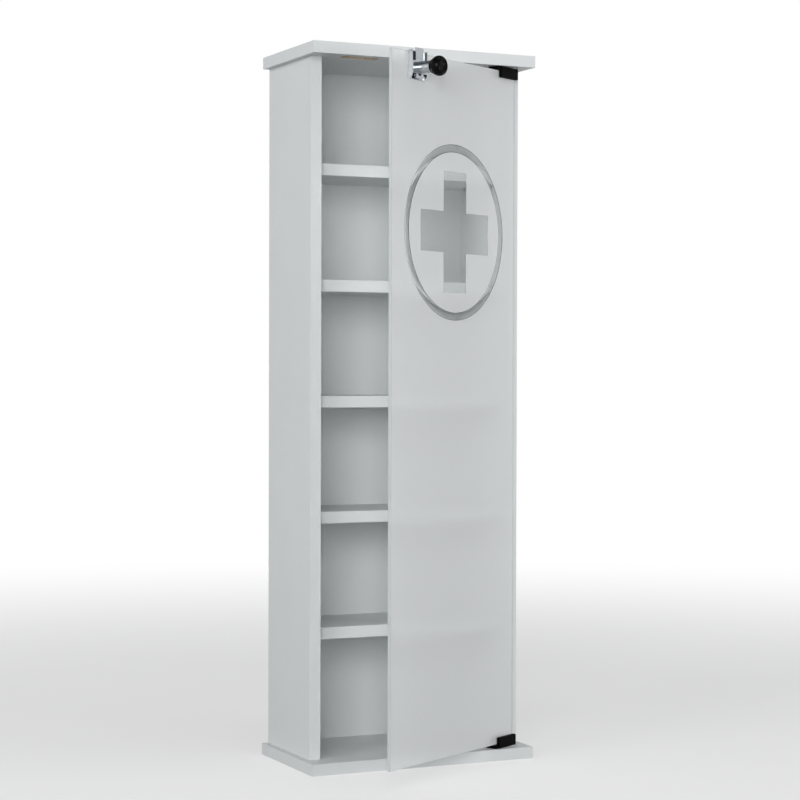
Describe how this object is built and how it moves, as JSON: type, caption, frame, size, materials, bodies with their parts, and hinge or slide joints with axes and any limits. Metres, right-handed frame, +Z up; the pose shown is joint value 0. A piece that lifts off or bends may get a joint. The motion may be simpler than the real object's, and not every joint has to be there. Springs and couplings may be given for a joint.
{
  "type": "lockable medicine cabinet",
  "caption": "Tall narrow cabinet with shelves behind a frosted glass door on pivot hinges, locked at the top by a key-turned bolt.",
  "frame": {"origin": "centre of the base board's underside, where the cabinet stands", "axes": "+Z up, the door faces -Y, +X to the right seen from the front; the door stands open by 29.5 degrees at rest"},
  "size_m": [0.314, 0.3014, 0.92],
  "materials": {
    "white_board": "smooth white melamine on chipboard",
    "white_hardboard": "white painted hardboard",
    "frosted_glass": "satin etched, with a polished cross and a bevelled ring",
    "black_metal": "satin black powder coat",
    "chrome": "bright plating",
    "steel": "zinc plated",
    "zinc": "die-cast zinc",
    "beech": "bare beech",
    "white_plastic": "moulded",
    "nylon": "natural nylon",
    "rubber": "soft pad",
    "black_plastic": "moulded, half gloss"
  },
  "bodies": {
    "carcass": {"top_board": "white_board", "bottom_board": "white_board", "side_panel_left": "white_board", "side_panel_right": "white_board", "shelf_1": "white_board", "shelf_2": "white_board", "shelf_3": "white_board", "shelf_4": "white_board", "shelf_5": "white_board", "shelf_pins": "steel", "back_panel": "white_hardboard", "back_nails": "steel", "wood_dowels": "beech", "cam_bolts": "steel", "cam_discs": "zinc", "cam_caps": "white_plastic", "hanging_plates": "zinc", "hanging_screws": "steel", "hinge_bush_top": "nylon", "hinge_bush_bottom": "nylon"},
    "door": {"glass_door": "frosted_glass", "hinge_clamp_top": "black_metal", "hinge_clamp_bottom": "black_metal", "hinge_pin_top": "steel", "hinge_pin_bottom": "steel", "hinge_pads_top": "rubber", "hinge_pads_bottom": "rubber", "hinge_pressure_plates": "steel", "hinge_grub_screws": "steel", "lock_housing": "chrome", "lock_pads": "rubber", "lock_pressure_plate": "steel", "lock_grub_screws": "steel", "lock_strap": "chrome", "lock_barrel": "chrome"},
    "lock_bolt": {"lock_bolt": "chrome"},
    "lock_core": {"lock_core": "zinc", "lock_cam": "steel"},
    "key": {"key_blade": "steel", "key_head": "black_plastic"}
  },
  "joints": [
    {"name": "door_swing", "type": "hinge", "parent": "carcass", "child": "door", "pos_m": [0.136, -0.06525, 0.46], "axis": [0, 0, 1], "range_deg": [-29.5, 75.5]},
    {"name": "key_turn", "type": "hinge", "parent": "door", "child": "lock_core", "pos_m": [-0.05683, -0.17119, 0.8805], "axis": [0.4924, -0.8704, 0], "range_deg": [0, 90]},
    {"name": "bolt_lift", "type": "slide", "parent": "door", "child": "lock_bolt", "axis": [0, 0, 1], "range_m": [0, 0.0072]},
    {"name": "key_withdraw", "type": "slide", "parent": "lock_core", "child": "key", "axis": [0.4924, -0.8704, 0], "range_m": [0, 0.02]}
  ],
  "couplings": [
    {"joint": "bolt_lift", "follows": "key_turn", "m_per_rad": 0.0045016}
  ]
}
